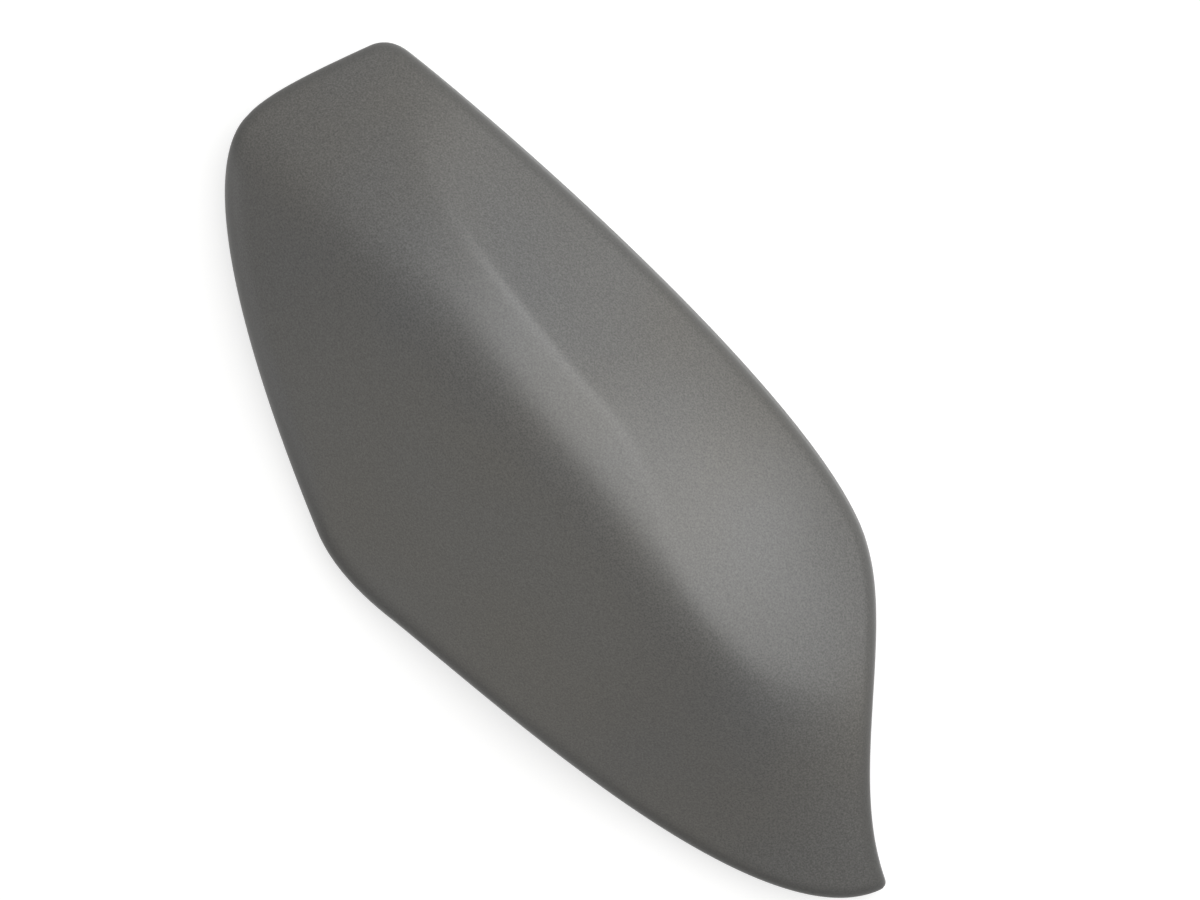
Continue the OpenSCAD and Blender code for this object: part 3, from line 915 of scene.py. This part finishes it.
# %% Ribs
RIB_H, RIB_TOE = 4.0, 1
RIB_SPOTS = ((84, -9, 26), (112, -9, 29), (140, -9, 28), (190, -9, 22))
for k, (s, t, length) in enumerate(RIB_SPOTS):
    plate("rib_%d" % k, spot(s, t), -math.pi / 2, 0, length, RIB_T,
          [(0, RIB_TOE), (RIB_H, RIB_H), (length - RIB_H, RIB_H), (length, RIB_TOE)])
print("ribs", len(RIB_SPOTS))

# %% [markdown]
# ## One moulding
# A Boolean modifier joins all of these to the shell, so that the result is
# one closed skin, as the plastic is. The manifold solver is quick and keeps
# the mesh closed where the pieces are closed themselves.

# %% Union
join = cover.modifiers.new("moulded_in_one", "BOOLEAN")
join.operation = "UNION"
join.operand_type = "COLLECTION"
join.collection = moulded
join.solver = "MANIFOLD"
settled = cover.evaluated_get(bpy.context.evaluated_depsgraph_get())
cover_mesh = bpy.data.meshes.new_from_object(settled)
cover.modifiers.clear()
cover.data = cover_mesh
for piece in list(moulded.objects):
    bpy.data.objects.remove(piece)
bpy.data.collections.remove(moulded)
bm = bmesh.new()
bm.from_mesh(cover_mesh)
print("one piece: volume", round(bm.calc_volume(signed=True) * 1e6, 1), "cm3, faces",
      len(bm.faces), "open edges", sum(not e.is_manifold for e in bm.edges))
bm.free()

# %% [markdown]
# ## Where the paint is thin, with painted sheen
# Spray paint draws back from sharp edges, and hands rub it there. The shader
# needs to know where that is, so each vertex gets a number: 1 on the turned
# edge and the rim, falling to 0 a few millimetres further in. The same number
# also makes the edge paler as painted sheen. Stored with the mesh, it goes
# wherever the mesh goes.

# %% Edge attribute
EDGE_NEAR, EDGE_FAR = 1.2, 4.5


def edge_wear_and_sheen(mesh):
    """1 close to the outline in plan, 0 from EDGE_FAR millimetres in."""
    co = np.empty(3 * len(mesh.vertices), dtype=np.float32)
    mesh.vertices.foreach_get("co", co)
    plan = co.reshape(-1, 3)[:, :2] / MM
    border = np.array([spot(p.x, p.y) for p in loop(0)], dtype=np.float32)
    gap = np.min([np.hypot(*(plan - q).T) for q in border], axis=0)
    q = np.clip((EDGE_FAR - gap) / (EDGE_FAR - EDGE_NEAR), 0, 1)
    # One mask for the real wear and for the painted sheen on the edge.
    wear_and_sheen = mesh.attributes.new("edge_wear_and_sheen", "FLOAT", "POINT")
    wear_and_sheen.data.foreach_set("value", q * q * (3 - 2 * q))
    return int((q > 0).sum())


print("vertices near the edge", edge_wear_and_sheen(cover_mesh), "of", len(cover_mesh.vertices))

# %% [markdown]
# ## Noise as paint
# Primer is fine pigment in little binder: close up it is speckled, a few
# millimetres apart it has the waviness of sprayed paint, and over the whole
# cover the film is a little warmer here and cooler there. Each of these is
# one noise texture of its own size. Object coordinates hold it to the
# object, so nothing slides when the camera moves.

# %% Shader helpers
MIX_FACTOR, MIX_FIRST, MIX_SECOND, MIX_COLOUR = 0, 6, 7, 2


def noise(nodes, links, size, detail=2.0):
    """Noise with features of about size metres, fixed to the object."""
    place = nodes.new("ShaderNodeTexCoord")
    made = nodes.new("ShaderNodeTexNoise")
    made.inputs["Scale"].default_value = 1.0 / size
    made.inputs["Detail"].default_value = detail
    links.new(place.outputs["Object"], made.inputs["Vector"])
    return made.outputs["Fac"]


def remap(nodes, links, value, low, high, start=0.3, stop=0.7):
    """Brings a value to low..high; noise lies mostly between 0.3 and 0.7."""
    made = nodes.new("ShaderNodeMapRange")
    for name, number in (("From Min", start), ("From Max", stop),
                         ("To Min", low), ("To Max", high)):
        made.inputs[name].default_value = number
    links.new(value, made.inputs["Value"])
    return made.outputs["Result"]


def blend(nodes, links, factor, first, second, mode="MIX"):
    """Mixes two colours, each a tuple or a socket, through the Mix node's colour sockets."""
    made = nodes.new("ShaderNodeMix")
    made.data_type, made.blend_type = "RGBA", mode
    if isinstance(factor, float):
        made.inputs[MIX_FACTOR].default_value = factor
    else:
        links.new(factor, made.inputs[MIX_FACTOR])
    for socket, colour in ((made.inputs[MIX_FIRST], first), (made.inputs[MIX_SECOND], second)):
        if isinstance(colour, tuple):
            socket.default_value = (*colour, 1.0)
        else:
            links.new(colour, socket)
    return made.outputs[MIX_COLOUR]


def sum_of(nodes, links, *values):
    total = values[0]
    for value in values[1:]:
        made = nodes.new("ShaderNodeMath")
        links.new(total, made.inputs[0])
        links.new(value, made.inputs[1])
        total = made.outputs["Value"]
    return total


def bump(nodes, links, height, depth, under=None):
    """Relief of depth metres, laid over the relief of another bump."""
    made = nodes.new("ShaderNodeBump")
    made.inputs["Distance"].default_value = depth
    links.new(height, made.inputs["Height"])
    if under:
        links.new(under, made.inputs["Normal"])
    return made.outputs["Normal"]


def attribute(nodes, name):
    made = nodes.new("ShaderNodeAttribute")
    made.attribute_name = name
    return made.outputs["Fac"]


print("helpers for noise, ranges, colours and bump")

# %% [markdown]
# ## Grey primer
# Four noises make the film: speckle of the pigment, a finer grain that the
# light catches, the waviness of the spray, and slow clouds of warm and
# cool. The clouds also move the roughness, as a thicker film is flatter. At
# the edges the film is thin and was sprayed dry: duller, and chipped in
# places, where a fifth noise and the wear together pass a limit. It is
# paler there too, partly as dry spray and partly as painted sheen that
# makes up for the sheen the duller edge loses.

# %% Outside material
SPECK, GRAIN, SPRAY, CLOUD, CHIP = 0.00045, 0.0004, 0.0032, 0.055, 0.0009
DARK_SPECK, PALE_SPECK = (0.051, 0.050, 0.048), (0.118, 0.1165, 0.112)
COOL, WARM = (0.975, 0.99, 1.02), (1.03, 1.0, 0.95)
# The paler edge colour is partly dry spray and partly painted sheen.
DRY_FILM_AND_SHEEN, BARE_PLASTIC = (0.105, 0.104, 0.101), (0.032, 0.032, 0.033)
GRAIN_DEPTH, SPRAY_DEPTH = 0.00002, 0.000006
SPRAY_DETAIL, CHIP_DETAIL = 1.0, 4.0
CHIP_FROM, CHIP_TO, CHIP_SHOWS, FILM_AND_SHEEN_SHOWS = 1.66, 1.74, 0.8, 0.6
FILM_ROUGH, GRAIN_ROUGH, DRY_EDGE = (0.34, 0.38), (-0.03, 0.03), 0.12
SHEEN, EDGE_SHEEN = 0.7, 0.35


def primer():
    _, nodes, links, shader = finishes[OUTSIDE]
    cloud = noise(nodes, links, CLOUD)
    wear_and_sheen = attribute(nodes, "edge_wear_and_sheen")
    pigment = blend(nodes, links, remap(nodes, links, noise(nodes, links, SPECK), 0, 1),
                    DARK_SPECK, PALE_SPECK)
    tint = blend(nodes, links, remap(nodes, links, cloud, 0, 1), COOL, WARM)
    tinted = blend(nodes, links, 1.0, pigment, tint, "MULTIPLY")
    # Paler edge film: partly dry spray, partly painted sheen in place of the sheen the edge
    # loses.
    film_and_sheen_share = remap(nodes, links, wear_and_sheen, 0, FILM_AND_SHEEN_SHOWS, 0, 1)
    with_film_and_sheen = blend(nodes, links, film_and_sheen_share, tinted, DRY_FILM_AND_SHEEN)
    knocks = sum_of(nodes, links, noise(nodes, links, CHIP, CHIP_DETAIL), wear_and_sheen)
    chip = remap(nodes, links, knocks, 0, CHIP_SHOWS, CHIP_FROM, CHIP_TO)
    links.new(blend(nodes, links, chip, with_film_and_sheen, BARE_PLASTIC), shader.inputs["Base Color"])
    rough = sum_of(nodes, links, remap(nodes, links, cloud, *FILM_ROUGH),
                   remap(nodes, links, noise(nodes, links, GRAIN), *GRAIN_ROUGH),
                   remap(nodes, links, wear_and_sheen, 0, DRY_EDGE, 0, 1))
    links.new(rough, shader.inputs["Roughness"])
    sheen = remap(nodes, links, wear_and_sheen, SHEEN, EDGE_SHEEN, 0, 1)
    links.new(sheen, shader.inputs["Specular IOR Level"])
    wavy = bump(nodes, links, noise(nodes, links, SPRAY, SPRAY_DETAIL), SPRAY_DEPTH)
    grainy = bump(nodes, links, noise(nodes, links, GRAIN), GRAIN_DEPTH, wavy)
    links.new(grainy, shader.inputs["Normal"])
    return len(nodes)


print("outside material with", primer(), "nodes")

# %% [markdown]
# ## The unpainted inside
# Only the outside is sprayed. The inner side shows the dark plastic with
# the fine texture of the mould, faint flow marks along the length, and a
# dusting of primer that drifted in, densest by the rim. Height above the
# rim decides how much of it settles, and a noise breaks it into droplets.

# %% Inside material
MOULD_GRAIN, MOULD_DEPTH = 0.0005, 0.00002
FLOW, FLOW_STRETCH, RAW_ROUGH = 0.012, (0.2, 1.0, 1.0), (0.42, 0.5)
PLASTIC_DARK, PLASTIC_PALE = (0.026, 0.026, 0.027), (0.036, 0.036, 0.037)
DUST, DUST_SHOWS, DUST_ROUGH = (0.10, 0.10, 0.098), 0.9, 0.12
DUST_TOP, DUST_FULL, DUST_BY_RIM = 0.016, 0.002, 0.55
DROPLET, DROPLET_DETAIL, DROPLET_FROM, DROPLET_TO = 0.0004, 3.0, 0.5, 1.0


def raw_plastic():
    _, nodes, links, shader = finishes[INSIDE]
    place = nodes.new("ShaderNodeTexCoord")
    split = nodes.new("ShaderNodeSeparateXYZ")
    links.new(place.outputs["Object"], split.inputs["Vector"])
    stretched = nodes.new("ShaderNodeMapping")
    stretched.inputs["Scale"].default_value = FLOW_STRETCH
    links.new(place.outputs["Object"], stretched.inputs["Vector"])
    marks = nodes.new("ShaderNodeTexNoise")
    marks.inputs["Scale"].default_value = 1.0 / FLOW
    links.new(stretched.outputs["Vector"], marks.inputs["Vector"])
    flow = marks.outputs["Fac"]
    near = remap(nodes, links, split.outputs["Z"], DUST_BY_RIM, 0.0, DUST_FULL, DUST_TOP)
    drift = sum_of(nodes, links, near, noise(nodes, links, DROPLET, DROPLET_DETAIL))
    dust = remap(nodes, links, drift, 0, DUST_SHOWS, DROPLET_FROM, DROPLET_TO)
    plastic = blend(nodes, links, remap(nodes, links, flow, 0, 1), PLASTIC_DARK, PLASTIC_PALE)
    links.new(blend(nodes, links, dust, plastic, DUST), shader.inputs["Base Color"])
    rough = sum_of(nodes, links, remap(nodes, links, flow, *RAW_ROUGH),
                   remap(nodes, links, dust, 0, DUST_ROUGH, 0, 1))
    links.new(rough, shader.inputs["Roughness"])
    textured = bump(nodes, links, noise(nodes, links, MOULD_GRAIN), MOULD_DEPTH)
    links.new(textured, shader.inputs["Normal"])
    return len(nodes)


print("inside material with", raw_plastic(), "nodes")

# %% [markdown]
# ## Onto the piece
# The faces have kept their materials through the union. Shading is smooth,
# except where the faces fold by more than a moulded corner would hide.

# %% Finish the piece
FOLD_SHOWN = math.radians(38)
cover_mesh.shade_smooth()
cover_mesh.set_sharp_from_angle(angle=FOLD_SHOWN)
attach(cover, "root")
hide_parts("mirror_cover")
print("faces outside", sum(f.material_index == OUTSIDE for f in cover_mesh.polygons),
      "inside", sum(f.material_index == INSIDE for f in cover_mesh.polygons))
